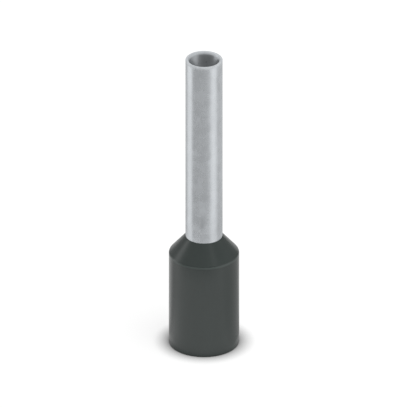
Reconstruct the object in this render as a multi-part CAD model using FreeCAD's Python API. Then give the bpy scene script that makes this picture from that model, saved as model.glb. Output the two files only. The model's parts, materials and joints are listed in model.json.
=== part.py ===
import FreeCAD, Part

import math
import os

# Insulated wire ferrule for 1.5 mm2 stranded wire: a tin-plated copper sleeve in a moulded collar.
#
# The sleeve is a thin drawn tube. Its free end goes into a terminal, where it is crimped flat on
# the strands. Its other end is flared inside the collar and is the funnel that gathers them.
# The collar is a thin plastic barrel over the end of the wire's insulation. Its conical shoulder
# closes on the sleeve, a short neck grips it, and a conical seat behind the neck carries the
# flare. Past the flare the plastic carries the same cone on to the barrel's wall, so the way in
# has no step for a strand to catch on.
#
# Sizes are in millimetres and angles in degrees, each angle measured from the axis. +Z runs along
# the axis from the wire's side to the free end. The origin is the centre of the collar's mouth,
# the flat ring that the ferrule stands on.

# Collar
COLLAR_DIAMETER = 3.98  # outside of the barrel
COLLAR_LENGTH = 6.76  # from the mouth to the top of the neck
COLLAR_WALL = 0.25  # of the barrel, round the insulation
SHOULDER_ANGLE = 41.0  # slope of the outer cone
SHOULDER_ROUNDING = 0.15  # where the barrel turns into the cone
NECK_LAND = 0.02  # width of the flat ring between the cone and the sleeve
NECK_GRIP = 0.4  # length of neck that holds the sleeve
MOUTH_ROUNDING = 0.08  # outer edge of the mouth
LEAD_IN_WIDTH = 0.08  # bevel inside the mouth, across the wall
LEAD_IN_ANGLE = 30.0
BARREL_ROUNDING = 0.15  # inside, where the barrel turns into the funnel

# Sleeve
SLEEVE_DIAMETER = 2.1  # outside of the tube
SLEEVE_WALL = 0.2
FREE_LENGTH = 11.24  # from the neck to the tip
TIP_ROUNDING = 0.08  # both edges of the cut end
FLARE_ANGLE = 38.0  # slope of the funnel
FLARE_BEND_RADIUS = 0.3  # on the outside of the tube, where it turns into the flare
FLARE_EDGE_ROUNDING = 0.04  # both edges of the flare's rim

# How the two meet
FLARE_TO_BARREL = 0.225  # across the axis, from the flare's rim to the barrel's inner wall
SEAT_END_GAP = 0.05  # along the cone, from the flare's rim to the end of its seat

barrel_outer_r = COLLAR_DIAMETER / 2
barrel_inner_r = barrel_outer_r - COLLAR_WALL
sleeve_outer_r = SLEEVE_DIAMETER / 2
sleeve_inner_r = sleeve_outer_r - SLEEVE_WALL
flare_r = barrel_inner_r - FLARE_TO_BARREL
neck_top_r = sleeve_outer_r + NECK_LAND

tip_z = COLLAR_LENGTH + FREE_LENGTH
shoulder_z = COLLAR_LENGTH - (barrel_outer_r - neck_top_r) / math.tan(math.radians(SHOULDER_ANGLE))
bend_z = COLLAR_LENGTH - NECK_GRIP  # where the straight tube ends

# Along the flare away from the neck, and across it towards the axis, as (radius, height)
flare_sin = math.sin(math.radians(FLARE_ANGLE))
flare_cos = math.cos(math.radians(FLARE_ANGLE))
half_turn = math.tan(math.radians(FLARE_ANGLE / 2))


def along_flare(point, distance):
    """The point that lies this far from another, down the slope of the flare."""
    return (point[0] + distance * flare_sin, point[1] - distance * flare_cos)


def through_wall(point, distance):
    """The point that lies this far from another, square to the flare and towards the axis."""
    return (point[0] - distance * flare_cos, point[1] - distance * flare_sin)


def down_to_radius(point, radius):
    """The point at this radius on the slope of the flare through another."""
    return along_flare(point, (radius - point[0]) / flare_sin)


# The theoretical corners of the bend, whose two rounded sides share one centre
outer_bend = (sleeve_outer_r, bend_z - FLARE_BEND_RADIUS * half_turn)
inner_bend = (sleeve_inner_r, bend_z - (FLARE_BEND_RADIUS + SLEEVE_WALL) * half_turn)
flare_outer_end = down_to_radius(outer_bend, flare_r)
flare_inner_end = through_wall(flare_outer_end, SLEEVE_WALL)
seat_outer_end = along_flare(flare_outer_end, SEAT_END_GAP)
seat_inner_end = through_wall(seat_outer_end, SLEEVE_WALL)
funnel_end = down_to_radius(seat_inner_end, barrel_inner_r)


def at(radius, height):
    """A point of the half section, which lies in the XZ plane."""
    return FreeCAD.Vector(radius, 0, height)


def rounded_outline(corners):
    """The closed wire through corners given as (radius, height, rounding). Each rounding above
    zero is an arc tangent to both sides, and the runs between them are straight."""
    count = len(corners)
    points = [at(r, z) for r, z, _ in corners]
    edges = []
    starts, ends = [], []
    for i, (_, _, rounding) in enumerate(corners):
        to_last = (points[i - 1] - points[i]).normalize()
        to_next = (points[(i + 1) % count] - points[i]).normalize()
        if rounding == 0:
            starts.append(points[i])
            ends.append(points[i])
            continue
        half = to_last.getAngle(to_next) / 2
        middle = (to_last + to_next).normalize()
        start = points[i] + to_last * (rounding / math.tan(half))
        end = points[i] + to_next * (rounding / math.tan(half))
        crown = points[i] + middle * (rounding / math.sin(half) - rounding)
        edges.append(Part.Arc(start, crown, end).toShape())
        starts.append(start)
        ends.append(end)
    for i in range(count):
        edges.append(Part.LineSegment(ends[i], starts[(i + 1) % count]).toShape())
    return Part.Wire(Part.__sortEdges__(edges))


def turned(corners):
    """The solid that a half section makes when it is turned once about the axis."""
    section = Part.Face(rounded_outline(corners))
    return section.revolve(FreeCAD.Vector(0, 0, 0), FreeCAD.Vector(0, 0, 1), 360)


def metal_sleeve():
    """The drawn tube with its flared end: up the outside from the flare, and down the bore."""
    return turned(
        [
            (*flare_outer_end, FLARE_EDGE_ROUNDING),
            (*outer_bend, FLARE_BEND_RADIUS),
            (sleeve_outer_r, tip_z, TIP_ROUNDING),
            (sleeve_inner_r, tip_z, TIP_ROUNDING),
            (*inner_bend, FLARE_BEND_RADIUS + SLEEVE_WALL),
            (*flare_inner_end, FLARE_EDGE_ROUNDING),
        ]
    )


def insulating_collar():
    """The moulded barrel, shoulder and neck: up the outside from the mouth, and down the inside
    through the neck, the flare's seat and the funnel."""
    lead_in_height = LEAD_IN_WIDTH / math.tan(math.radians(LEAD_IN_ANGLE))
    return turned(
        [
            (barrel_outer_r, 0, MOUTH_ROUNDING),
            (barrel_outer_r, shoulder_z, SHOULDER_ROUNDING),
            (neck_top_r, COLLAR_LENGTH, 0),
            (sleeve_outer_r, COLLAR_LENGTH, 0),
            (*outer_bend, FLARE_BEND_RADIUS),
            (*seat_outer_end, 0),
            (*seat_inner_end, 0),
            (*funnel_end, BARREL_ROUNDING),
            (barrel_inner_r, lead_in_height, 0),
            (barrel_inner_r + LEAD_IN_WIDTH, 0, 0),
        ]
    )


def main():
    """Writes each piece to its own file."""
    os.makedirs("parts", exist_ok=True)
    metal_sleeve().exportStep("parts/metal_sleeve.step")
    insulating_collar().exportStep("parts/insulating_collar.step")


main()
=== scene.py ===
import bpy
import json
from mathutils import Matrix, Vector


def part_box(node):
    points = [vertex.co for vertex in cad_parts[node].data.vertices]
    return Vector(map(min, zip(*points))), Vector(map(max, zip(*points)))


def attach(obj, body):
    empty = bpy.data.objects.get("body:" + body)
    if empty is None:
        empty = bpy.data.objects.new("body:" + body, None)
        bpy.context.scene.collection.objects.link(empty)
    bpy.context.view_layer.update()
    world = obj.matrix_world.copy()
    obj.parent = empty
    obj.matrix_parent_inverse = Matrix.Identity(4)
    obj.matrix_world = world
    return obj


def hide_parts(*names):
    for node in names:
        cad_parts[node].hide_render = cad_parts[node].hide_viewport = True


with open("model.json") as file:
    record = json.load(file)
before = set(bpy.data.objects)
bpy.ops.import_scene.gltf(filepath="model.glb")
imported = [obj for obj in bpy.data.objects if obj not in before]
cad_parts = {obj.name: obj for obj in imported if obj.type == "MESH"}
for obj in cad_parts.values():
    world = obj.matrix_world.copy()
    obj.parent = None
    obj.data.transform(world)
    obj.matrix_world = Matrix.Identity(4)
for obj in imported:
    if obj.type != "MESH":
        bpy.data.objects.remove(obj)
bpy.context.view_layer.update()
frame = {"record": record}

import json
import math

import bpy
import numpy as np

# Insulated wire ferrule for 1.5 mm2 stranded wire, at its looks: a tin-plated copper sleeve whose
# flared end is held in a moulded plastic collar. Both are turned shapes round the Z axis. Sizes are
# in metres, and the collar stands on the floor with its mouth at the origin. The camera looks along
# +Y and down, and azimuths are counted from the camera, with +X on its right.

bl_info = {
    "name": "Wire Ferrule",
    "version": (1, 0, 0),
    "blender": (4, 5, 0),
    "location": "3D View > Sidebar > Ferrule",
    "description": "Builds an insulated wire ferrule with its finishes, its stage and its light",
    "category": "Object",
}

SLEEVE_NODE = "metal_sleeve"
COLLAR_NODE = "insulating_collar"
MILLIMETRE = 0.001

MOUNTS = {mount["name"]: mount for mount in frame["record"]["mounts"]}
SLEEVE_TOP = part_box(SLEEVE_NODE)[1]
COLLAR_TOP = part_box(COLLAR_NODE)[1]


def mount_diameter(name):
    """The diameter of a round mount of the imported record, in metres."""
    return 2 * MOUNTS[name]["dims"]["r_mm"] * MILLIMETRE


def length(name, millimetres, description):
    """A length that a user can set, with its default in millimetres."""
    return bpy.props.FloatProperty(
        name=name,
        description=description,
        default=millimetres * MILLIMETRE,
        min=0.0,
        precision=5,
        subtype="DISTANCE",
        unit="LENGTH",
    )


def angle(name, degrees, description):
    """An angle that a user can set, with its default in degrees."""
    return bpy.props.FloatProperty(
        name=name,
        description=description,
        default=math.radians(degrees),
        subtype="ANGLE",
        unit="ROTATION",
    )


def share(name, value, description, highest=1.0):
    """A plain number from nothing to its highest that a user can set."""
    return bpy.props.FloatProperty(
        name=name, description=description, default=value, min=0.0, max=highest, subtype="FACTOR"
    )


def colour(name, value, description):
    """A colour that a user can set."""
    return bpy.props.FloatVectorProperty(
        name=name, description=description, default=value, min=0.0, max=1.0, size=3, subtype="COLOR"
    )


class SleeveSettings(bpy.types.PropertyGroup):
    """The metal sleeve's sizes and finish."""

    diameter: length(
        "Diameter", mount_diameter("terminal_pin") / MILLIMETRE, "Outside of the straight tube"
    )
    bore: length("Bore", mount_diameter("conductor_bore") / MILLIMETRE, "Inside of the straight tube")
    tip_height: length("Tip Height", SLEEVE_TOP.z / MILLIMETRE, "From the floor to the cut end")
    tip_outer: length("Tip Outer Rounding", 0.055, "Outer edge of the cut end")
    tip_inner: length("Tip Inner Rounding", 0.14, "Inner edge of the cut end")
    flare_angle: angle("Flare Angle", 38.0, "Slope of the funnel, from the axis")
    flare_bend: length("Flare Bend", 0.3, "Outside of the tube, where it turns into the flare")
    flare_rounding: length("Flare Edge Rounding", 0.04, "Both edges of the flare's rim")
    tin: colour("Tin", (0.645, 0.672, 0.698), "Colour of the tin plating")
    tin_roughness: share("Tin Roughness", 0.27, "Roughness of the plating on the outside")
    tin_unevenness: share("Tin Unevenness", 0.05, "How far the patches differ in roughness")
    cut_metal: share("Cut Metal", 0.4, "How bare the metal of the cut end is of its dull film")
    cut_roughness: share("Cut Roughness", 0.42, "Roughness of the cut end")
    # Painted shade: this darkens the plating's colour in the bore
    bore_painted_shade: share("Bore Shade", 0.62, "Colour of the bore as a share of the plating's colour")
    bore_metal: share("Bore Metal", 0.68, "How bare the metal in the bore is of its dull film")
    bore_roughness: share("Bore Roughness", 0.3, "Roughness of the plating in the bore")
    bore_facets: angle(
        "Bore Facets", 30.0, "How far the faces of the bore's fine rings lean towards the tip"
    )
    spangle_size: length("Spangle Size", 0.42, "Width of the soft patches in the plating")
    spangle_contrast: share("Spangle Contrast", 0.09, "How far the patches differ in tone")
    spangle_relief: length("Spangle Relief", 0.0004, "Height of the patches")
    mark_width: length("Mark Width", 0.05, "Width of the drawing marks, which run along the tube")


class CollarSettings(bpy.types.PropertyGroup):
    """The moulded collar's sizes and finish."""

    diameter: length("Diameter", 2 * COLLAR_TOP.x / MILLIMETRE, "Outside of the barrel")
    bore: length(
        "Bore", mount_diameter("insulation_bore") / MILLIMETRE, "Inside of the barrel, round the wire"
    )
    height: length("Height", COLLAR_TOP.z / MILLIMETRE, "From the mouth to the top of the neck")
    shoulder_angle: angle("Shoulder Angle", 41.0, "Slope of the outer cone, from the axis")
    shoulder_rounding: length("Shoulder Rounding", 0.15, "Where the barrel turns into the cone")
    neck_land: length("Neck Land", 0.02, "Width of the flat ring between the cone and the sleeve")
    neck_grip: length("Neck Grip", 0.4, "Length of the neck that holds the sleeve")
    mouth_rounding: length("Mouth Rounding", 0.08, "Outer edge of the mouth")
    lead_in_width: length("Lead-in Width", 0.08, "Bevel inside the mouth, across the wall")
    lead_in_angle: angle("Lead-in Angle", 30.0, "Slope of the bevel, from the axis")
    funnel_rounding: length("Funnel Rounding", 0.15, "Inside, where the barrel meets the funnel")
    flare_to_barrel: length("Flare to Barrel", 0.225, "From the flare's rim to the barrel's inside")
    seat_gap: length("Seat Gap", 0.05, "Along the cone, past the flare's rim")
    edge_break: length("Edge Break", 0.01, "Rounding of the edges that are sharp in the mould")
    plastic: colour("Plastic", (0.0330, 0.0424, 0.0396), "Colour of the moulded plastic")
    plastic_roughness: share("Plastic Roughness", 0.2, "Roughness of the moulded surface")
    cloud_size: length("Cloud Size", 0.6, "Width of the faint clouds in the plastic")
    cloud_contrast: share("Cloud Contrast", 0.03, "How far the clouds differ in tone")
    cloud_unevenness: share("Cloud Unevenness", 0.02, "How far the clouds differ in roughness")
    grain_size: length("Grain Size", 0.05, "Width of the moulded grain")
    grain_relief: length("Grain Relief", 0.0006, "Height of the moulded grain")
    # The next two paint a highlight: a lighter band of colour along the shoulder's edge, where its
    # rounding shines, and the band's width
    painted_edge_highlight: share("Edge Tone", 0.6, "How much lighter the shoulder's edge is, where moulds meet")
    edge_width: length("Edge Width", 0.11, "Width of the lighter edge")


class StageSettings(bpy.types.PropertyGroup):
    """The camera, the light and the floor."""

    camera_elevation: angle("Camera Elevation", 27.8, "How far the camera looks down")
    view_width: length("View Width", 23.056, "Width of the picture at the object")
    aim_height: length("Aim Height", 8.745, "Height of the point at the picture's centre")
    lamp_forward: angle("Lamp Forward", 14.0, "How far the overhead lamp leans to the front")
    lamp_right: angle("Lamp Right", 14.0, "How far the overhead lamp leans to the right")
    lamp_width: angle("Lamp Width", 45.0, "Apparent width of the overhead lamp")
    lamp_strength: bpy.props.FloatProperty(
        name="Lamp Strength",
        description="Light of the overhead lamp on a level surface",
        default=1.6,
        min=0.0,
        unit="POWER",
    )
    sky: share("Sky", 0.5, "Even light from all round, on matt surfaces")
    floor_shade: share("Floor Shade", 0.34, "Share of the floor's tone that the lamps light")
    floor_white: share("Floor White", 0.72, "Share of the floor's tone that is always there", 2.0)
    contact_reach: length("Contact Reach", 1.0, "How far the contact shadow reaches")
    contact_depth: share("Contact Depth", 1.85, "How fast the white darkens at the contact", 4.0)


def unit(vectors):
    """The vectors scaled to a length of one."""
    return vectors / np.linalg.norm(vectors, axis=-1, keepdims=True)


def rounded_profile(corners, arc_points=9, run_points=12):
    """Points (radius, height) in order along a closed profile with rounded corners.

    At each corner, back and onward are the unit vectors along its two sides, h is half the angle
    between them and m is the unit vector half way between them. The arc of radius r that touches
    both sides has its centre at corner + m r / sin(h), and its ends are the points at r / tan(h)
    along the sides. It turns by w = 180 degrees less 2 h, and its point at t from 0 to 1 is
    centre + (sin((1 - t) w) (start - centre) + sin(t w) (end - centre)) / sin(w).
    A straight run is divided at (1 - cos(180 degrees t)) / 2, which is finer beside the arcs."""
    corners = np.array(corners, float)
    corner, radius = corners[:, :2], corners[:, 2:]
    back = unit(np.roll(corner, 1, axis=0) - corner)
    onward = unit(np.roll(corner, -1, axis=0) - corner)
    half = np.arccos(np.sum(back * onward, axis=1, keepdims=True)) / 2
    centre = corner + unit(back + onward) * radius / np.sin(half)
    start = corner + back * radius / np.tan(half)
    end = corner + onward * radius / np.tan(half)

    turn = (np.pi - 2 * half)[:, None]
    t = np.linspace(0, 1, arc_points)[None, :, None]
    from_start = np.sin((1 - t) * turn) * (start - centre)[:, None]
    from_end = np.sin(t * turn) * (end - centre)[:, None]
    arcs = centre[:, None] + (from_start + from_end) / np.sin(turn)

    t = (1 - np.cos(np.pi * np.arange(1, run_points + 1) / (run_points + 1))) / 2
    runs = end[:, None] + (np.roll(start, -1, axis=0) - end)[:, None] * t[None, :, None]
    return np.concatenate([arcs, runs], axis=1).reshape(-1, 2)


# Margin round each strip of the flat picture, as a share of the strip
UV_MARGIN = 0.01


def turned_uv(profile, rows, columns, sides, strips):
    """Where the corners of a turned surface's faces lie in its flat picture.

    With d as how far a corner is along the profile and a as how far it is round the axis, both
    from 0 to 1, the picture is (a, d), cut across d into strips that lie side by side. Each strip
    is drawn in by a small margin, so that none touches the next."""
    sections = np.linalg.norm(np.roll(profile, -1, axis=0) - profile, axis=1)
    along = np.concatenate([[0], np.cumsum(sections)]) / np.sum(sections)
    before, after = along[:-1], along[1:]
    strip = ((before + after) / 2 * strips).astype(int)
    first = np.array([before[strip == i].min() for i in range(strips)])[strip][:, None, None]
    last = np.array([after[strip == i].max() for i in range(strips)])[strip][:, None, None]

    inside = 1 - 2 * UV_MARGIN
    across = (columns / sides + 0 * rows) * inside + UV_MARGIN
    down = (along[rows] - first) / (last - first) * inside + UV_MARGIN
    return np.stack([(across + strip[:, None, None]) / strips, down], axis=-1)


def turned_mesh(name, profile, strips, sides=256):
    """The closed surface that a closed profile makes when it is turned about the Z axis.

    With the profile's points (r, z), which go up the outside and down the inside, the surface is
    p(s, a) = (-r(s) sin(a), r(s) cos(a), z(s)), where a goes once round from the back. Its UV map
    is cut into so many strips."""
    count = len(profile)
    a = np.linspace(0, 2 * np.pi, sides, endpoint=False)
    r, z = profile[:, :1], profile[:, 1:]
    points = np.stack([-r * np.sin(a), r * np.cos(a), z + 0 * a], axis=2)

    row, column = np.meshgrid(np.arange(count), np.arange(sides), indexing="ij")
    step = np.array([[0, 0], [0, 1], [1, 1], [1, 0]])
    rows = row[..., None] + step[:, 0]
    columns = column[..., None] + step[:, 1]
    quads = (rows % count) * sides + columns % sides
    uv = turned_uv(profile, rows, columns, sides, strips)

    mesh = bpy.data.meshes.new(name)
    mesh.vertices.add(count * sides)
    mesh.vertices.foreach_set("co", points.ravel())
    mesh.loops.add(quads.size)
    mesh.loops.foreach_set("vertex_index", quads.ravel())
    mesh.polygons.add(count * sides)
    mesh.polygons.foreach_set("loop_start", np.arange(0, quads.size, 4))
    mesh.update(calc_edges=True)
    mesh.shade_smooth()
    mesh.uv_layers.new(name="OFBake").data.foreach_set("uv", uv.ravel())
    if mesh.validate():
        raise RuntimeError(f"{name} has faces that are not sound")
    return mesh


def add_object(name, data, material=None):
    """Puts new data into the scene as one object, in place of an earlier one of that name."""
    earlier = bpy.data.objects.get(name)
    if earlier:
        bpy.data.objects.remove(earlier)
    new = bpy.data.objects.new(name, data)
    bpy.context.scene.collection.objects.link(new)
    if material:
        data.materials.append(material)
    return new


def flare_corners(sleeve, collar):
    """The theoretical corners (radius, height) where sleeve and collar meet, all on two parallel
    slopes: from a corner, a distance d along the flare is (r + d sin A, z - d cos A), and a
    distance d through its wall is (r - d cos A, z - d sin A), with A the flare's angle."""
    slope = sleeve.flare_angle
    outer, inner = sleeve.diameter / 2, sleeve.bore / 2
    wall = outer - inner
    bend = collar.height - collar.neck_grip
    half_turn = math.tan(slope / 2)

    def along(point, distance):
        return (point[0] + distance * math.sin(slope), point[1] - distance * math.cos(slope))

    def through(point, distance):
        return (point[0] - distance * math.cos(slope), point[1] - distance * math.sin(slope))

    def down_to(point, radius):
        return along(point, (radius - point[0]) / math.sin(slope))

    corners = {
        "outer_bend": (outer, bend - sleeve.flare_bend * half_turn),
        "inner_bend": (inner, bend - (sleeve.flare_bend + wall) * half_turn),
    }
    rim = down_to(corners["outer_bend"], collar.bore / 2 - collar.flare_to_barrel)
    corners["flare_outer"] = rim
    corners["flare_inner"] = through(rim, wall)
    corners["seat_outer"] = along(rim, collar.seat_gap)
    corners["seat_inner"] = through(corners["seat_outer"], wall)
    corners["funnel_end"] = down_to(corners["seat_inner"], collar.bore / 2)
    return corners


def sleeve_profile(sleeve, collar):
    """The drawn tube with its flared end: up the outside from the flare, and down the bore."""
    at = flare_corners(sleeve, collar)
    wall = (sleeve.diameter - sleeve.bore) / 2
    return rounded_profile(
        [
            (*at["flare_outer"], sleeve.flare_rounding),
            (*at["outer_bend"], sleeve.flare_bend),
            (sleeve.diameter / 2, sleeve.tip_height, sleeve.tip_outer),
            (sleeve.bore / 2, sleeve.tip_height, sleeve.tip_inner),
            (*at["inner_bend"], sleeve.flare_bend + wall),
            (*at["flare_inner"], sleeve.flare_rounding),
        ],
        run_points=16,
    )


def shoulder_height(sleeve, collar):
    """The height of the theoretical corner between the barrel and the outer cone."""
    drop = (collar.diameter - sleeve.diameter) / 2 - collar.neck_land
    return collar.height - drop / math.tan(collar.shoulder_angle)


def collar_profile(sleeve, collar):
    """The barrel, shoulder and neck: up the outside from the mouth, and down the inside through
    the neck, the flare's seat and the funnel."""
    at = flare_corners(sleeve, collar)
    outer, inner = collar.diameter / 2, collar.bore / 2
    neck_inner = sleeve.diameter / 2
    neck_outer = neck_inner + collar.neck_land
    lead_in = collar.lead_in_width / math.tan(collar.lead_in_angle)
    sharp = collar.edge_break
    return rounded_profile(
        [
            (outer, 0, collar.mouth_rounding),
            (outer, shoulder_height(sleeve, collar), collar.shoulder_rounding),
            (neck_outer, collar.height, sharp / 2),
            (neck_inner, collar.height, sharp / 2),
            (*at["outer_bend"], sleeve.flare_bend),
            (*at["seat_outer"], sharp),
            (*at["seat_inner"], sharp),
            (*at["funnel_end"], collar.funnel_rounding),
            (inner, lead_in, sharp),
            (inner + collar.lead_in_width, 0, sharp),
        ]
    )


def new_group(name, inputs, outputs):
    """An empty shader node group with named inputs and outputs. Each socket is given as its name,
    its kind and, for an input, its default."""
    group = bpy.data.node_groups.new(name, "ShaderNodeTree")
    for title, kind, default in inputs:
        socket = group.interface.new_socket(title, in_out="INPUT", socket_type=kind)
        if default is not None:
            socket.default_value = default
    for title, kind in outputs:
        group.interface.new_socket(title, in_out="OUTPUT", socket_type=kind)
    return group


def emptied(blocks, name):
    """A new material or world in place of an earlier one of that name, and its empty node tree."""
    earlier = blocks.get(name)
    if earlier:
        blocks.remove(earlier)
    block = blocks.new(name)
    block.use_nodes = True
    block.node_tree.nodes.clear()
    return block, block.node_tree


def place(tree, kind, x, y, **settings):
    """A new node at its place in the graph, with its settings."""
    node = tree.nodes.new(kind)
    node.location = (x, y)
    for name, value in settings.items():
        setattr(node, name, value)
    return node


def feed(tree, *pairs):
    """Joins sockets in pairs: a socket or a plain value, and the input that it goes to."""
    for source, target in pairs:
        if isinstance(source, bpy.types.NodeSocket):
            tree.links.new(source, target)
        else:
            target.default_value = source


def maths(tree, operation, x, y, *values):
    """The result of a Math node on sockets or numbers."""
    node = place(tree, "ShaderNodeMath", x, y, operation=operation)
    feed(tree, *zip(values, node.inputs))
    return node.outputs[0]


def vector_maths(tree, operation, x, y, *vectors):
    """The vector that a Vector Math node makes of sockets or plain vectors."""
    node = place(tree, "ShaderNodeVectorMath", x, y, operation=operation)
    feed(tree, *zip(vectors, node.inputs))
    return node.outputs[0]


def scaled(tree, x, y, vector, factor):
    """A vector, or a colour's lightness, times a factor that changes over the surface."""
    node = place(tree, "ShaderNodeVectorMath", x, y, operation="SCALE")
    feed(tree, (vector, node.inputs[0]), (factor, node.inputs["Scale"]))
    return node.outputs[0]


def distance_from(tree, x, y, point, centre=(0.0, 0.0, 0.0)):
    """The distance of a point from a centre."""
    node = place(tree, "ShaderNodeVectorMath", x, y, operation="DISTANCE")
    feed(tree, (point, node.inputs[0]), (centre, node.inputs[1]))
    return node.outputs["Value"]


def part_of(tree, x, y, vector, axis):
    """One part of a vector, by the axis X, Y or Z."""
    node = place(tree, "ShaderNodeSeparateXYZ", x, y)
    feed(tree, (vector, node.inputs[0]))
    return node.outputs[axis]


def smooth_step(tree, x, y, value, zero, one):
    """From 0 to 1 as a value goes from its first limit to its second, with soft ends."""
    node = place(tree, "ShaderNodeMapRange", x, y, interpolation_type="SMOOTHSTEP")
    feed(
        tree,
        (value, node.inputs["Value"]),
        (zero, node.inputs["From Min"]),
        (one, node.inputs["From Max"]),
    )
    return node.outputs[0]


def blended(tree, x, y, factor, first, second):
    """The first colour where the factor is 0, and the second where it is 1."""
    node = place(tree, "ShaderNodeMix", x, y, data_type="RGBA")
    feed(tree, (factor, node.inputs[0]), (first, node.inputs[6]), (second, node.inputs[7]))
    return node.outputs[2]


def grey(level):
    """A grey as a colour."""
    return (level, level, level, 1.0)


def grey_ramp(tree, x, y, value, stops):
    """The grey that belongs to a value, on a ramp through stops given as (value, level)."""
    node = place(tree, "ShaderNodeValToRGB", x, y)
    elements = node.color_ramp.elements
    while len(elements) < len(stops):
        elements.new(1.0)
    for element, (position, level) in zip(elements, stops):
        element.position = position
        element.color = grey(level)
    feed(tree, (value, node.inputs[0]))
    return node.outputs["Color"]


def bumped(tree, x, y, height, facing=None):
    """The normal of a surface that is raised by a height in metres."""
    node = place(tree, "ShaderNodeBump", x, y)
    feed(tree, (height, node.inputs["Height"]), (1.0, node.inputs["Distance"]))
    if facing:
        feed(tree, (facing, node.inputs["Normal"]))
    return node.outputs[0]


def mottle_group():
    """Patches of soft tone, about 0 on average and from about -1 to 1: noise whose patches are
    Size wide and Stretch times as long along Z, with finer patches added by Detail. It is built
    once, and both finishes use it."""
    built = bpy.data.node_groups.get("Soft Mottle")
    if built:
        return built
    group = new_group(
        "Soft Mottle",
        [
            ("Vector", "NodeSocketVector", None),
            ("Size", "NodeSocketFloat", 0.3 * MILLIMETRE),
            ("Stretch", "NodeSocketFloat", 1.0),
            ("Detail", "NodeSocketFloat", 1.0),
        ],
        [("Tone", "NodeSocketFloat")],
    )
    ins = place(group, "NodeGroupInput", -800, 0)
    outs = place(group, "NodeGroupOutput", 600, 0)
    box = place(group, "ShaderNodeCombineXYZ", -400, -200)
    noise = place(group, "ShaderNodeTexNoise", 0, 0)
    tall = maths(group, "MULTIPLY", -600, -200, ins.outputs["Size"], ins.outputs["Stretch"])
    cells = vector_maths(group, "DIVIDE", -200, 0, ins.outputs["Vector"], box.outputs[0])
    feed(
        group,
        (ins.outputs["Size"], box.inputs["X"]),
        (ins.outputs["Size"], box.inputs["Y"]),
        (tall, box.inputs["Z"]),
        (cells, noise.inputs["Vector"]),
        (1.0, noise.inputs["Scale"]),
        (ins.outputs["Detail"], noise.inputs["Detail"]),
    )
    # The noise keeps within about a quarter on either side of a half
    centred = maths(group, "SUBTRACT", 200, 0, noise.outputs["Fac"], 0.5)
    feed(group, (maths(group, "MULTIPLY", 400, 0, centred, 4.0), outs.inputs["Tone"]))
    return group


# How far a patch of the spangle blends into its neighbours, from 0 to 1
SPANGLE_SOFTNESS = 0.45


def spangle_group():
    """Soft-edged patches like the crystals of tin plate, from about -1 to 1: each smooth cell of a
    Voronoi pattern has a tone of its own and blends into its neighbours."""
    built = bpy.data.node_groups.get("Tin Spangle")
    if built:
        return built
    group = new_group(
        "Tin Spangle",
        [("Vector", "NodeSocketVector", None), ("Size", "NodeSocketFloat", 0.3 * MILLIMETRE)],
        [("Tone", "NodeSocketFloat")],
    )
    ins = place(group, "NodeGroupInput", -600, 0)
    outs = place(group, "NodeGroupOutput", 600, 0)
    cells = place(group, "ShaderNodeTexVoronoi", -200, 0, feature="SMOOTH_F1")
    split = place(group, "ShaderNodeSeparateColor", 0, 0)
    feed(
        group,
        (ins.outputs["Vector"], cells.inputs["Vector"]),
        (maths(group, "DIVIDE", -400, -200, 1.0, ins.outputs["Size"]), cells.inputs["Scale"]),
        (SPANGLE_SOFTNESS, cells.inputs["Smoothness"]),
        (cells.outputs["Color"], split.inputs[0]),
    )
    # A cell's tone lies between 0 and 1
    centred = maths(group, "SUBTRACT", 200, 0, split.outputs[0], 0.5)
    feed(group, (maths(group, "MULTIPLY", 400, 0, centred, 2.0), outs.inputs["Tone"]))
    return group


def placed_group(tree, group, x, y, vector, **values):
    """A group's node with its own values, and its one result."""
    node = place(tree, "ShaderNodeGroup", x, y, node_tree=group)
    feed(tree, (vector, node.inputs["Vector"]))
    for title, value in values.items():
        feed(tree, (value, node.inputs[title.capitalize()]))
    return node.outputs[0]


def new_finish(name):
    """A material with its shader and output, and the piece's Object coordinates."""
    material, tree = emptied(bpy.data.materials, name)
    shader = place(tree, "ShaderNodeBsdfPrincipled", 900, 0)
    output = place(tree, "ShaderNodeOutputMaterial", 1200, 0)
    where = place(tree, "ShaderNodeTexCoord", -1400, 0).outputs["Object"]
    feed(tree, (shader.outputs[0], output.inputs["Surface"]))
    return material, tree, shader, where


# Shares of the plating's three patterns in its tone, and how much longer than wide two of them are
SPANGLE_SHARE, CLOUD_SHARE, MARK_SHARE = 0.4, 0.5, 0.15
TIN_CLOUD_STRETCH = 1.4
MARK_STRETCH = 60.0
# Where the bore's finish begins and where it is whole, outwards from its wall, round the tip
BORE_FADE = (0.018 * MILLIMETRE, 0.004 * MILLIMETRE)
# Where the cut end's finish begins and where it is whole, down from the tip
CUT_FADE = (0.20 * MILLIMETRE, 0.06 * MILLIMETRE)


def plating_tone(tree, sleeve, mottle, spangle, where):
    """Tone of the plating, near 0 on average: its spangle, its clouds and its drawing marks."""
    size = sleeve.spangle_size
    patches = placed_group(tree, spangle, -1100, 300, where, size=size)
    clouds = placed_group(
        tree, mottle, -1100, 100, where, size=size, stretch=TIN_CLOUD_STRETCH, detail=1.0
    )
    marks = placed_group(
        tree, mottle, -1100, -150, where, size=sleeve.mark_width, stretch=MARK_STRETCH, detail=0.0
    )
    tone = maths(tree, "MULTIPLY", -850, 300, patches, SPANGLE_SHARE)
    tone = maths(tree, "MULTIPLY_ADD", -650, 250, clouds, CLOUD_SHARE, tone)
    return maths(tree, "MULTIPLY_ADD", -450, 200, marks, MARK_SHARE, tone)


def faceted_normal(tree, sleeve, in_bore):
    """The surface's normal, which leans towards the tip in the bore. The bore's rings are too fine
    to see one by one, so the whole wall faces as their faces do."""
    surface = place(tree, "ShaderNodeNewGeometry", -700, -700).outputs["Normal"]
    lean = scaled(tree, -400, -700, (0.0, 0.0, math.tan(sleeve.bore_facets)), in_bore)
    leant = vector_maths(tree, "ADD", -200, -700, surface, lean)
    return vector_maths(tree, "NORMALIZE", 0, -700, leant)


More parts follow.
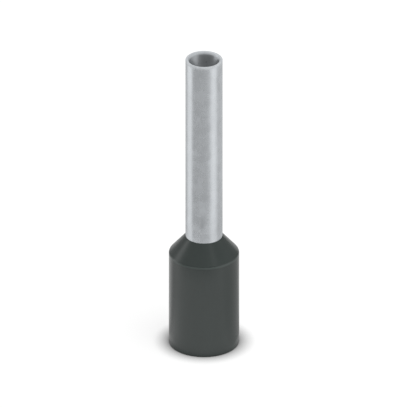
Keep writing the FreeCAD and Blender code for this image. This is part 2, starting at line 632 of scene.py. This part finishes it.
def tin_material(sleeve, mottle, spangle):
    """Bright tin plating with soft spangle and drawing marks, duller in the bore and on the cut end,
    with painted shade that darkens the bore's colour."""
    material, tree, shader, where = new_finish("Tin Plating")
    tone = plating_tone(tree, sleeve, mottle, spangle, where)

    # 1 in the bore and 0 outside, by the distance from the axis
    flat = vector_maths(tree, "MULTIPLY", -1100, -400, where, (1.0, 1.0, 0.0))
    radius = distance_from(tree, -900, -400, flat)
    wall = sleeve.bore / 2
    in_bore = smooth_step(tree, -700, -400, radius, wall + BORE_FADE[0], wall + BORE_FADE[1])
    # 1 on the cut end and 0 below its rounded edges, by the height
    height = part_of(tree, -1100, -650, where, "Z")
    tip = sleeve.tip_height
    cut = smooth_step(tree, -900, -650, height, tip - CUT_FADE[0], tip - CUT_FADE[1])
    # The bore again, without what the cut end takes of it
    bore = maths(tree, "MULTIPLY", -300, -400, in_bore, maths(tree, "SUBTRACT", -500, -600, 1.0, cut))

    shade = maths(tree, "MULTIPLY_ADD", -200, 300, tone, sleeve.spangle_contrast, 1.0)
    # Painted shade: the colour is darker in the bore, as its depth would make it
    painted_shade = maths(tree, "MULTIPLY_ADD", -200, 100, bore, sleeve.bore_painted_shade - 1.0, 1.0)
    factor = maths(tree, "MULTIPLY", 0, 200, shade, painted_shade)
    metal = maths(tree, "MULTIPLY_ADD", 0, 0, bore, sleeve.bore_metal - 1.0, 1.0)
    metal = maths(tree, "MULTIPLY_ADD", 200, 0, cut, sleeve.cut_metal - 1.0, metal)
    rough = maths(tree, "MULTIPLY_ADD", -200, -200, tone, sleeve.tin_unevenness, sleeve.tin_roughness)
    rougher = sleeve.bore_roughness - sleeve.tin_roughness
    rough = maths(tree, "MULTIPLY_ADD", 0, -200, bore, rougher, rough)
    rougher = sleeve.cut_roughness - sleeve.tin_roughness
    rough = maths(tree, "MULTIPLY_ADD", 200, -200, cut, rougher, rough)
    relief = maths(tree, "MULTIPLY", 0, -500, tone, sleeve.spangle_relief)
    facing = faceted_normal(tree, sleeve, in_bore)
    feed(
        tree,
        (scaled(tree, 300, 200, tuple(sleeve.tin), factor), shader.inputs["Base Color"]),
        (rough, shader.inputs["Roughness"]),
        (bumped(tree, 300, -300, relief, facing), shader.inputs["Normal"]),
        (metal, shader.inputs["Metallic"]),
    )
    return material


# How strongly the plastic bends light, and how much taller than wide its clouds are
PLASTIC_IOR = 1.5
PLASTIC_CLOUD_STRETCH = 1.5
# How far the painted highlight along the shoulder's edge fades on either side of its border, as a share
# of its width
EDGE_HIGHLIGHT_FADE = 0.2


def plastic_material(sleeve, collar, mottle):
    """Moulded plastic: a fine even grain, with a slight cloudiness in tone and gloss, and a painted
    highlight along the shoulder's edge.
    """
    material, tree, shader, where = new_finish("Moulded Plastic")
    clouds = placed_group(
        tree,
        mottle,
        -900,
        200,
        where,
        size=collar.cloud_size,
        stretch=PLASTIC_CLOUD_STRETCH,
        detail=1.0,
    )
    grain = placed_group(tree, mottle, -900, -200, where, size=collar.grain_size, detail=2.0)

    # 1 on the painted highlight, a lighter band just below the shoulder's corner, and 0 elsewhere
    height = part_of(tree, -1100, 500, where, "Z")
    width = collar.edge_width
    above = maths(tree, "SUBTRACT", -900, 500, height, shoulder_height(sleeve, collar) - width / 2)
    away = maths(tree, "ABSOLUTE", -700, 500, above)
    edge = smooth_step(tree, -500, 500, away, width * (0.5 + EDGE_HIGHLIGHT_FADE), width * (0.5 - EDGE_HIGHLIGHT_FADE))

    shade = maths(tree, "MULTIPLY_ADD", -500, 200, clouds, collar.cloud_contrast, 1.0)
    # Painted highlight: the plastic's colour is lighter along the shoulder's edge
    shade = maths(tree, "MULTIPLY_ADD", -300, 200, edge, collar.painted_edge_highlight, shade)
    rough = maths(
        tree, "MULTIPLY_ADD", -300, 0, clouds, collar.cloud_unevenness, collar.plastic_roughness
    )
    relief = maths(tree, "MULTIPLY", -300, -200, grain, collar.grain_relief)
    feed(
        tree,
        (scaled(tree, 0, 200, tuple(collar.plastic), shade), shader.inputs["Base Color"]),
        (rough, shader.inputs["Roughness"]),
        (bumped(tree, 0, -200, relief), shader.inputs["Normal"]),
        (PLASTIC_IOR, shader.inputs["IOR"]),
    )
    return material


class FERRULE_OT_build_sleeve(bpy.types.Operator):
    """Build the tin-plated sleeve"""

    bl_idname = "ferrule.build_sleeve"
    bl_label = "Build Sleeve"

    def execute(self, context):
        sleeve, collar = context.scene.ferrule_sleeve, context.scene.ferrule_collar
        mesh = turned_mesh("tin_plated_sleeve", sleeve_profile(sleeve, collar), strips=2)
        finish = tin_material(sleeve, mottle_group(), spangle_group())
        piece = add_object("tin_plated_sleeve", mesh, finish)
        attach(piece, "root")
        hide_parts(SLEEVE_NODE)
        return {"FINISHED"}


class FERRULE_OT_build_collar(bpy.types.Operator):
    """Build the moulded collar"""

    bl_idname = "ferrule.build_collar"
    bl_label = "Build Collar"

    def execute(self, context):
        sleeve, collar = context.scene.ferrule_sleeve, context.scene.ferrule_collar
        mesh = turned_mesh("moulded_collar", collar_profile(sleeve, collar), strips=1)
        finish = plastic_material(sleeve, collar, mottle_group())
        piece = add_object("moulded_collar", mesh, finish)
        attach(piece, "root")
        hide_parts(COLLAR_NODE)
        return {"FINISHED"}


# Brightness of what the polished surfaces mirror, by azimuth in degrees. After the azimuth come
# three runs of the floor: the one beside the object, which the barrel mirrors, the next, which
# only the foot of the sleeve mirrors, and all that lies beyond. Then comes the sky in two bands:
# a face that leans back less than about 36 degrees mirrors the low band, and a steeper one the
# high band. There is a dark card in front and a bright one on each side, and behind the object it
# is grey.
SURROUND = [
    (-180, 0.84, 0.62, 0.62, 0.50, 0.50),
    (-160, 0.85, 0.62, 0.62, 0.50, 0.40),
    (-150, 0.86, 0.62, 0.62, 0.60, 0.36),
    (-139, 0.78, 0.60, 0.60, 0.80, 0.40),
    (-131, 0.87, 0.56, 0.56, 1.00, 0.41),
    (-122, 0.80, 0.80, 0.80, 1.30, 0.43),
    (-116, 0.68, 0.95, 0.95, 1.50, 0.85),
    (-112, 0.63, 0.97, 0.97, 1.60, 1.25),
    (-106, 0.65, 0.99, 0.99, 1.62, 1.50),
    (-100, 0.79, 0.99, 0.99, 1.62, 1.15),
    (-94, 0.91, 1.00, 1.00, 1.27, 0.70),
    (-85, 1.02, 1.00, 1.00, 0.85, 0.49),
    (-71, 1.06, 0.40, 0.52, 0.18, 0.46),
    (-54, 1.06, 0.26, 0.51, 0.08, 0.46),
    (8, 1.06, 0.28, 0.53, 0.08, 0.46),
    (20, 1.04, 0.40, 0.57, 0.10, 0.46),
    (32, 1.01, 0.58, 0.64, 0.18, 0.49),
    (45, 0.98, 0.87, 0.87, 0.45, 0.85),
    (52, 0.96, 1.00, 1.00, 0.80, 0.62),
    (60, 0.88, 1.00, 1.00, 1.10, 0.46),
    (66, 0.76, 1.00, 1.00, 1.20, 0.45),
    (79, 0.66, 0.92, 0.92, 1.10, 0.45),
    (85, 0.63, 0.76, 0.76, 1.00, 0.46),
    (96, 0.60, 0.62, 0.62, 0.90, 0.48),
    (107, 0.58, 0.62, 0.62, 0.85, 0.48),
    (118, 0.53, 0.64, 0.64, 0.85, 0.38),
    (133, 0.54, 0.66, 0.66, 0.80, 0.30),
    (143, 0.64, 0.64, 0.64, 0.60, 0.28),
    (150, 0.71, 0.62, 0.62, 0.60, 0.26),
    (160, 0.82, 0.62, 0.62, 0.50, 0.40),
    (180, 0.84, 0.62, 0.62, 0.50, 0.50),
]
NEAR_FLOOR, MIDDLE_FLOOR, FAR_FLOOR, LOW_SKY, HIGH_SKY = 1, 2, 3, 4, 5
# Distances from the axis over which one run of the floor gives way to the next
TO_MIDDLE_FLOOR = (12.4 * MILLIMETRE, 13.2 * MILLIMETRE)
TO_FAR_FLOOR = (14.8 * MILLIMETRE, 16.6 * MILLIMETRE)
# Millimetres from a point just behind the axis, and what the floor's brightness is multiplied by
# there: less close to the barrel and where the foot of the sleeve mirrors the floor, and more where
# the top of the barrel does
FLOOR_RINGS = [
    (0, 0.7),
    (2.1, 0.7),
    (4, 1),
    (10.5, 1),
    (11.5, 1.13),
    (12.6, 1.13),
    (13.4, 0.84),
    (15.5, 0.84),
    (17.5, 1),
    (20, 1),
]
RING_CENTRE = (0.0, 0.8 * MILLIMETRE, 0.0)
# Level of the sky below its low band and above its high band, and the leans of a face in degrees
# over which it goes from level to level
HORIZON_LEVEL = 1.2
TOP_LEVEL = 0.75
TO_LOW_SKY, TO_HIGH_SKY, TO_TOP = (20, 24), (33, 38), (55, 70)

# From the point that the camera aims at to the camera, and the nearest and farthest that it sees
CAMERA_DISTANCE = 0.15
CAMERA_REACH = (0.001, 1.0)
# A distant lamp lights the same from every place, so this only keeps it out of the way
LAMP_PLACE = (0.05, 0, 0.2)
# The floor lies a hair under the mouth, so that their faces don't coincide
FLOOR_RADIUS = 0.6
FLOOR_HEIGHT = -0.002 * MILLIMETRE
# The surround starts outside the barrel, and lies just above the floor
SURROUND_INNER = 2.4 * MILLIMETRE
SURROUND_OUTER = 0.3
SURROUND_HEIGHT = 0.02 * MILLIMETRE
# Tone of the floor where it throws light on matt surfaces
FLOOR_MATT = 0.8
# For its contact shadow the floor looks up and a little to the left and the front, so the shadow
# is deeper on the right and at the back
CONTACT_FACING = (-0.04, -0.07, 0.98)
CONTACT_SAMPLES = 16


def disc_mesh(name, inner, outer, height, sides=96):
    """A flat ring p(r, a) = (r sin(a), -r cos(a), height), with r from inner to outer."""
    a = np.linspace(0, 2 * np.pi, sides, endpoint=False)
    r = np.array([[inner], [outer]])
    points = np.stack([r * np.sin(a), -r * np.cos(a), 0 * r * a + height], axis=2)
    near = np.arange(sides)
    far = near + sides
    quads = np.stack([near, far, np.roll(far, -1), np.roll(near, -1)], axis=1)
    mesh = bpy.data.meshes.new(name)
    mesh.from_pydata(points.reshape(-1, 3), [], quads.tolist())
    return mesh


def floor_material(stage):
    """A pale floor. Matt surfaces see it lit by the lamps. The camera and polished surfaces see a
    share of that, with its shadow, and a white share that darkens only at the contact: with o as
    the open part of what a point looks at, that share is 1 - depth (1 - o), and not below 0."""
    material, tree = emptied(bpy.data.materials, "Pale Floor")
    material.cycles.emission_sampling = "NONE"
    output = place(tree, "ShaderNodeOutputMaterial", 900, 0)
    lit = place(tree, "ShaderNodeBsdfDiffuse", 300, 200)
    glow = place(tree, "ShaderNodeEmission", 300, -200)
    both = place(tree, "ShaderNodeAddShader", 600, 0)

    rays = place(tree, "ShaderNodeLightPath", -800, 400).outputs
    seen = maths(tree, "MAXIMUM", -600, 300, rays["Is Camera Ray"], rays["Is Glossy Ray"])
    seen = maths(tree, "MAXIMUM", -400, 300, seen, rays["Is Transmission Ray"])
    matt = maths(tree, "SUBTRACT", -200, 300, 1.0, seen)
    more = FLOOR_MATT - stage.floor_shade
    tone = maths(tree, "MULTIPLY_ADD", 0, 300, matt, more, stage.floor_shade)

    side = place(tree, "ShaderNodeCombineXYZ", -1000, -300)
    contact = place(tree, "ShaderNodeAmbientOcclusion", -800, -300, samples=CONTACT_SAMPLES)
    feed(
        tree,
        *zip(CONTACT_FACING, side.inputs),
        (side.outputs[0], contact.inputs["Normal"]),
        (stage.contact_reach, contact.inputs["Distance"]),
    )
    depth = stage.contact_depth
    share_left = maths(tree, "MULTIPLY_ADD", -600, -300, contact.outputs["AO"], depth, 1.0 - depth)
    share_left = maths(tree, "MAXIMUM", -400, -300, share_left, 0.0)
    white = maths(tree, "MULTIPLY", -200, -300, share_left, stage.floor_white)
    feed(
        tree,
        (tone, lit.inputs["Color"]),
        (maths(tree, "MULTIPLY", 0, -300, white, seen), glow.inputs["Strength"]),
        (lit.outputs[0], both.inputs[0]),
        (glow.outputs[0], both.inputs[1]),
        (both.outputs[0], output.inputs["Surface"]),
    )
    return material


def azimuth_levels(tree, x, y, direction, column):
    """The brightness in one column of SURROUND, by the azimuth of a direction from the object."""
    right = part_of(tree, x - 800, y, direction, "X")
    back = part_of(tree, x - 800, y - 150, direction, "Y")
    front = maths(tree, "MULTIPLY", x - 600, y - 150, back, -1.0)
    azimuth = maths(tree, "ARCTAN2", x - 400, y, right, front)
    turn = maths(tree, "MULTIPLY_ADD", x - 200, y, azimuth, 0.5 / math.pi, 0.5)
    return grey_ramp(tree, x, y, turn, [(row[0] / 360 + 0.5, row[column]) for row in SURROUND])


def surround_material():
    """Plain light on the floor, whose brightness goes round the object as SURROUND says. Outwards
    it passes through the three runs of the floor, and through FLOOR_RINGS."""
    material, tree = emptied(bpy.data.materials, "Surround")
    material.cycles.emission_sampling = "NONE"
    output = place(tree, "ShaderNodeOutputMaterial", 900, 0)
    glow = place(tree, "ShaderNodeEmission", 700, 0)
    where = place(tree, "ShaderNodeTexCoord", -1000, 0).outputs["Object"]

    distance = distance_from(tree, -400, -900, where)
    midway = smooth_step(tree, -200, -800, distance, *TO_MIDDLE_FLOOR)
    far_off = smooth_step(tree, -200, -1050, distance, *TO_FAR_FLOOR)
    near = azimuth_levels(tree, 0, 0, where, NEAR_FLOOR)
    middle = azimuth_levels(tree, 0, -300, where, MIDDLE_FLOOR)
    far = azimuth_levels(tree, 0, -600, where, FAR_FLOOR)
    level = blended(tree, 300, 0, midway, near, middle)
    level = blended(tree, 500, 0, far_off, level, far)

    last = FLOOR_RINGS[-1][0]
    from_centre = distance_from(tree, -400, -1300, where, RING_CENTRE)
    outwards = maths(tree, "DIVIDE", -200, -1300, from_centre, last * MILLIMETRE)
    rings = grey_ramp(tree, 0, -1300, outwards, [(ring / last, factor) for ring, factor in FLOOR_RINGS])
    feed(
        tree,
        (level, glow.inputs["Color"]),
        (rings, glow.inputs["Strength"]),
        (glow.outputs[0], output.inputs["Surface"]),
    )
    return material


def lean_step(tree, x, y, lean, degrees):
    """From 0 to 1 as a face's lean goes through a run of degrees. The lean comes as its sine."""
    low, high = degrees
    return smooth_step(tree, x, y, lean, math.sin(math.radians(low)), math.sin(math.radians(high)))


def world_light(stage):
    """White for the camera, an even level for matt surfaces, and for polished surfaces the sky of
    SURROUND, between an even level at the horizon and another one overhead."""
    world, tree = emptied(bpy.data.worlds, "Soft Studio")
    bpy.context.scene.world = world
    world.cycles.sampling_method = "NONE"
    output = place(tree, "ShaderNodeOutputWorld", 1400, 0)
    back = place(tree, "ShaderNodeBackground", 1200, 0)
    where = place(tree, "ShaderNodeTexCoord", -1200, 0).outputs["Generated"]

    # Half way between a direction and the way back to the camera is the face that mirrors it
    onward = (0.0, math.cos(stage.camera_elevation), -math.sin(stage.camera_elevation))
    turned = vector_maths(tree, "SUBTRACT", -1000, -900, where, onward)
    facing = vector_maths(tree, "NORMALIZE", -800, -900, turned)
    lean = part_of(tree, -600, -900, facing, "Z")

    low = azimuth_levels(tree, 0, 0, where, LOW_SKY)
    high = azimuth_levels(tree, 0, -300, where, HIGH_SKY)
    sky = blended(tree, 300, 0, lean_step(tree, 0, -600, lean, TO_LOW_SKY), grey(HORIZON_LEVEL), low)
    sky = blended(tree, 500, 0, lean_step(tree, 0, -900, lean, TO_HIGH_SKY), sky, high)
    sky = blended(tree, 700, 0, lean_step(tree, 0, -1200, lean, TO_TOP), sky, grey(TOP_LEVEL))

    rays = place(tree, "ShaderNodeLightPath", 300, 400).outputs
    seen = maths(tree, "MAXIMUM", 500, 400, rays["Is Camera Ray"], rays["Is Transmission Ray"])
    level = blended(tree, 700, 300, seen, grey(stage.sky), grey(1.0))
    feed(
        tree,
        (blended(tree, 1000, 0, rays["Is Glossy Ray"], level, sky), back.inputs["Color"]),
        (back.outputs[0], output.inputs["Surface"]),
    )


def place_camera(stage):
    """The camera without perspective, which looks down on the middle of the object."""
    camera = bpy.data.cameras.new("camera")
    camera.type = "ORTHO"
    camera.ortho_scale = stage.view_width
    camera.clip_start, camera.clip_end = CAMERA_REACH
    view = add_object("camera", camera)
    down = stage.camera_elevation
    away, above = CAMERA_DISTANCE * math.cos(down), CAMERA_DISTANCE * math.sin(down)
    view.location = (0, -away, stage.aim_height + above)
    view.rotation_euler = (math.pi / 2 - down, 0, 0)
    bpy.context.scene.camera = view


def hang_lamp(stage):
    """The wide overhead lamp, which polished surfaces don't mirror."""
    lamp = bpy.data.lights.new("overhead_lamp", "SUN")
    lamp.energy = stage.lamp_strength
    lamp.angle = stage.lamp_width
    overhead = add_object("overhead_lamp", lamp)
    overhead.location = LAMP_PLACE
    overhead.rotation_euler = (stage.lamp_forward, stage.lamp_right, 0)
    overhead.visible_glossy = False


def lay_floor(stage):
    """The floor, and the surround that only polished surfaces see."""
    floor_disc = disc_mesh("floor", 0.0, FLOOR_RADIUS, FLOOR_HEIGHT)
    floor = add_object("floor", floor_disc, floor_material(stage))
    surround_disc = disc_mesh("surround", SURROUND_INNER, SURROUND_OUTER, SURROUND_HEIGHT)
    surround = add_object("surround", surround_disc, surround_material())
    for name in ("camera", "diffuse", "transmission", "volume_scatter", "shadow"):
        setattr(surround, "visible_" + name, False)


class FERRULE_OT_build_stage(bpy.types.Operator):
    """Set the camera, the light and the floor"""

    bl_idname = "ferrule.build_stage"
    bl_label = "Build Stage"

    def execute(self, context):
        stage = context.scene.ferrule_stage
        context.scene.view_settings.view_transform = "Standard"
        place_camera(stage)
        hang_lamp(stage)
        world_light(stage)
        lay_floor(stage)
        return {"FINISHED"}


# What the panel lists: the name of the settings in the scene, their group and their build step
STEPS = [
    ("ferrule_sleeve", SleeveSettings, FERRULE_OT_build_sleeve),
    ("ferrule_collar", CollarSettings, FERRULE_OT_build_collar),
    ("ferrule_stage", StageSettings, FERRULE_OT_build_stage),
]


class FERRULE_PT_panel(bpy.types.Panel):
    """The ferrule's settings and build steps"""

    bl_idname = "FERRULE_PT_panel"
    bl_label = "Wire Ferrule"
    bl_space_type = "VIEW_3D"
    bl_region_type = "UI"
    bl_category = "Ferrule"

    def draw(self, context):
        for name, settings, step in STEPS:
            box = self.layout.box()
            for setting in settings.__annotations__:
                box.prop(getattr(context.scene, name), setting)
            box.operator(step.bl_idname)


def register():
    """Adds the settings to the scenes, and makes the build steps and the panel known."""
    for name, settings, step in STEPS:
        bpy.utils.register_class(settings)
        bpy.utils.register_class(step)
        setattr(bpy.types.Scene, name, bpy.props.PointerProperty(type=settings))
    bpy.utils.register_class(FERRULE_PT_panel)


def unregister():
    """Takes away all that register adds."""
    bpy.utils.unregister_class(FERRULE_PT_panel)
    for name, settings, step in reversed(STEPS):
        delattr(bpy.types.Scene, name)
        bpy.utils.unregister_class(step)
        bpy.utils.unregister_class(settings)


def main():
    """Builds the whole scene."""
    register()
    bpy.ops.ferrule.build_sleeve()
    bpy.ops.ferrule.build_collar()
    bpy.ops.ferrule.build_stage()


if __name__ == "__main__":
    main()
